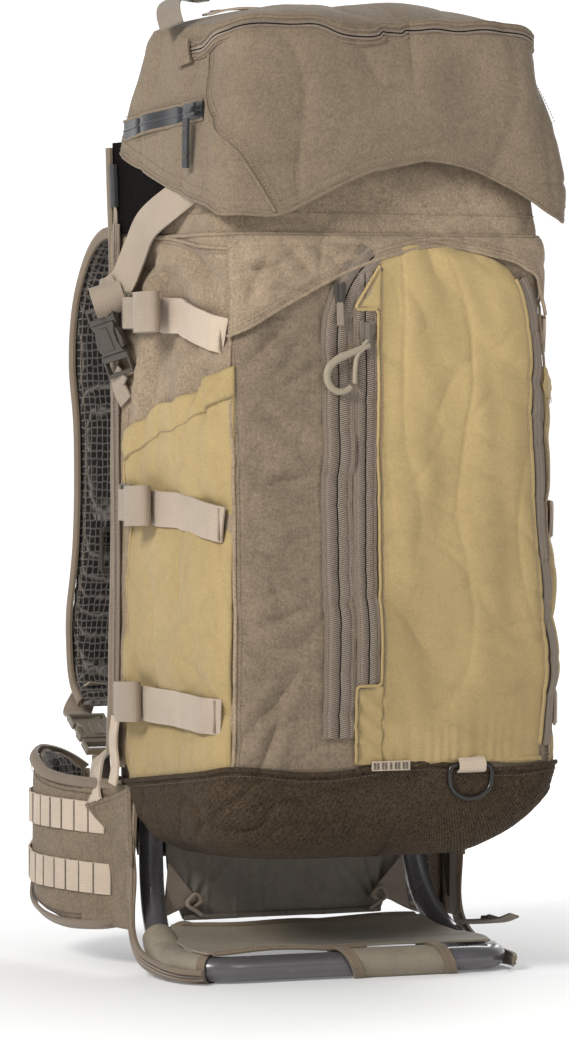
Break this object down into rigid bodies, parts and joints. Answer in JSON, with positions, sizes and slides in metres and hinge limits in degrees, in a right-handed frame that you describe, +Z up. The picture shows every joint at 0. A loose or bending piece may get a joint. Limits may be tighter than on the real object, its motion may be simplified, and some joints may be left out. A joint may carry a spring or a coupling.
{
  "type": "hunting backpack",
  "caption": "Upright fabric frame pack with a hinged lid, front and side pockets, harness, hip belt and a tubular load shelf below the bag.",
  "frame": {"origin": "centre of the footprint box, on the surface that the shelf loop stands on", "axes": "+X is the wearer's right, +Y points from the pack to the wearer, +Z is up, along the pack's height"},
  "size_m": [0.35, 0.4186, 0.7862],
  "materials": {
    "ripstop": "woven ripstop nylon, matt, taupe",
    "twill": "heavy nylon twill, matt, dark brown",
    "khaki": "smooth stretch softshell, yellow khaki",
    "webbing": "ribbed nylon webbing, tan",
    "mesh": "spacer mesh over foam, dark",
    "zip": "coil zip on woven tape, taupe",
    "black_zip": "coated water-resistant zip, black",
    "plastic": "moulded acetal buckle, grey-brown",
    "tube": "bent aluminium tube, dark grey, semi-gloss",
    "steel": "steel wire ring, dark",
    "panel": "smooth packcloth, dark olive",
    "sling": "coated fabric, grey tan, smooth",
    "sheet": "plastic frame sheet, black"
  },
  "bodies": {
    "pack": {"frame_tube": "tube", "upper_crossbar": "tube", "lower_crossbar": "tube", "frame_sheet": "sheet", "shelf_sling": "sling", "load_panel": "panel", "side_curtain_left": "zip", "side_curtain_right": "zip", "outer_zip": "zip", "inner_zip": "zip", "bag_shell": "ripstop", "bag_base": "twill", "front_pocket": "khaki", "side_pocket_left": "khaki", "side_pocket_right": "khaki", "upper_strap_left": "webbing", "upper_lock_left": "plastic", "middle_strap_left": "webbing", "middle_lock_left": "plastic", "lower_strap_left": "webbing", "lower_lock_left": "plastic", "lid_strap_left": "webbing", "lid_strap_buckle_left": "plastic", "back_pad_left": "mesh", "upper_strap_right": "webbing", "upper_lock_right": "plastic", "middle_strap_right": "webbing", "middle_lock_right": "plastic", "lower_strap_right": "webbing", "lower_lock_right": "plastic", "lid_strap_right": "webbing", "lid_strap_buckle_right": "plastic", "back_pad_right": "mesh", "lumbar_pad": "mesh", "d_ring_tab": "webbing"},
    "lid": {"lid": "ripstop", "lid_zip": "zip", "lid_pocket_zip": "black_zip", "lid_top_webbing": "webbing", "lid_top_buckle": "plastic"},
    "lid_pocket_slider": {"lid_pocket_slider": "black_zip"},
    "lid_pocket_puller": {"lid_pocket_puller": "black_zip"},
    "outer_zip_slider": {"outer_zip_slider": "zip"},
    "inner_zip_slider": {"inner_zip_slider": "zip"},
    "inner_zip_pull": {"inner_zip_pull": "plastic"},
    "side_zip_slider": {"side_zip_slider": "zip"},
    "d_ring": {"d_ring": "steel"},
    "haul_handle": {"haul_handle": "webbing"},
    "hip_wing_left": {"hip_wing_left": "twill", "belt_buckle_left": "plastic"},
    "shoulder_strap_left": {"shoulder_strap_left": "mesh", "strap_buckle_left": "plastic"},
    "sternum_slider_left": {"sternum_slider_left": "plastic"},
    "hip_wing_right": {"hip_wing_right": "twill", "belt_buckle_right": "plastic"},
    "shoulder_strap_right": {"shoulder_strap_right": "mesh", "strap_buckle_right": "plastic"},
    "sternum_slider_right": {"sternum_slider_right": "plastic"}
  },
  "joints": [
    {"name": "lid_hinge", "type": "hinge", "parent": "pack", "child": "lid", "pos_m": [0, 0.0213, 0.6648], "axis": [-1, 0, 0], "range_deg": [0, 100]},
    {"name": "lid_pocket_slide", "type": "slide", "parent": "lid", "child": "lid_pocket_slider", "axis": [0, 0.9972, -0.0749], "range_m": [0, 0.13]},
    {"name": "lid_puller_flip", "type": "hinge", "parent": "lid_pocket_slider", "child": "lid_pocket_puller", "pos_m": [-0.1576, -0.1467, 0.6808], "axis": [0, 1, 0], "range_deg": [0, 90]},
    {"name": "outer_zip_slide", "type": "slide", "parent": "pack", "child": "outer_zip_slider", "axis": [0, 0, -1], "range_m": [0, 0.33]},
    {"name": "inner_zip_slide", "type": "slide", "parent": "pack", "child": "inner_zip_slider", "axis": [0, 0, -1], "range_m": [0, 0.28]},
    {"name": "inner_pull_flip", "type": "hinge", "parent": "inner_zip_slider", "child": "inner_zip_pull", "pos_m": [-0.0275, -0.2037, 0.5073], "axis": [-1, 0, 0], "range_deg": [0, 90]},
    {"name": "side_zip_slide", "type": "slide", "parent": "pack", "child": "side_zip_slider", "axis": [0, 0, -1], "range_m": [0, 0.38]},
    {"name": "d_ring_swing", "type": "hinge", "parent": "pack", "child": "d_ring", "pos_m": [0.063, -0.2037, 0.1718], "axis": [-1, 0, 0], "range_deg": [0, 100]},
    {"name": "haul_handle_swing", "type": "hinge", "parent": "pack", "child": "haul_handle", "pos_m": [0, 0.0633, 0.5718], "axis": [1, 0, 0], "range_deg": [0, 150]},
    {"name": "hip_wing_left_swing", "type": "hinge", "parent": "pack", "child": "hip_wing_left", "pos_m": [-0.136, 0.0233, 0.0898], "axis": [0, 0, 1], "range_deg": [-10, 30]},
    {"name": "shoulder_strap_left_swing", "type": "hinge", "parent": "pack", "child": "shoulder_strap_left", "pos_m": [-0.093, 0.0353, 0.5778], "axis": [1, 0, 0], "range_deg": [0, 15]},
    {"name": "sternum_left_slide", "type": "slide", "parent": "shoulder_strap_left", "child": "sternum_slider_left", "axis": [0, -0.0554, 0.9985], "range_m": [-0.03, 0.03]},
    {"name": "hip_wing_right_swing", "type": "hinge", "parent": "pack", "child": "hip_wing_right", "pos_m": [0.136, 0.0233, 0.0898], "axis": [0, 0, -1], "range_deg": [-10, 30]},
    {"name": "shoulder_strap_right_swing", "type": "hinge", "parent": "pack", "child": "shoulder_strap_right", "pos_m": [0.093, 0.0353, 0.5778], "axis": [1, 0, 0], "range_deg": [0, 15]},
    {"name": "sternum_right_slide", "type": "slide", "parent": "shoulder_strap_right", "child": "sternum_slider_right", "axis": [0, -0.0554, 0.9985], "range_m": [-0.03, 0.03]}
  ]
}
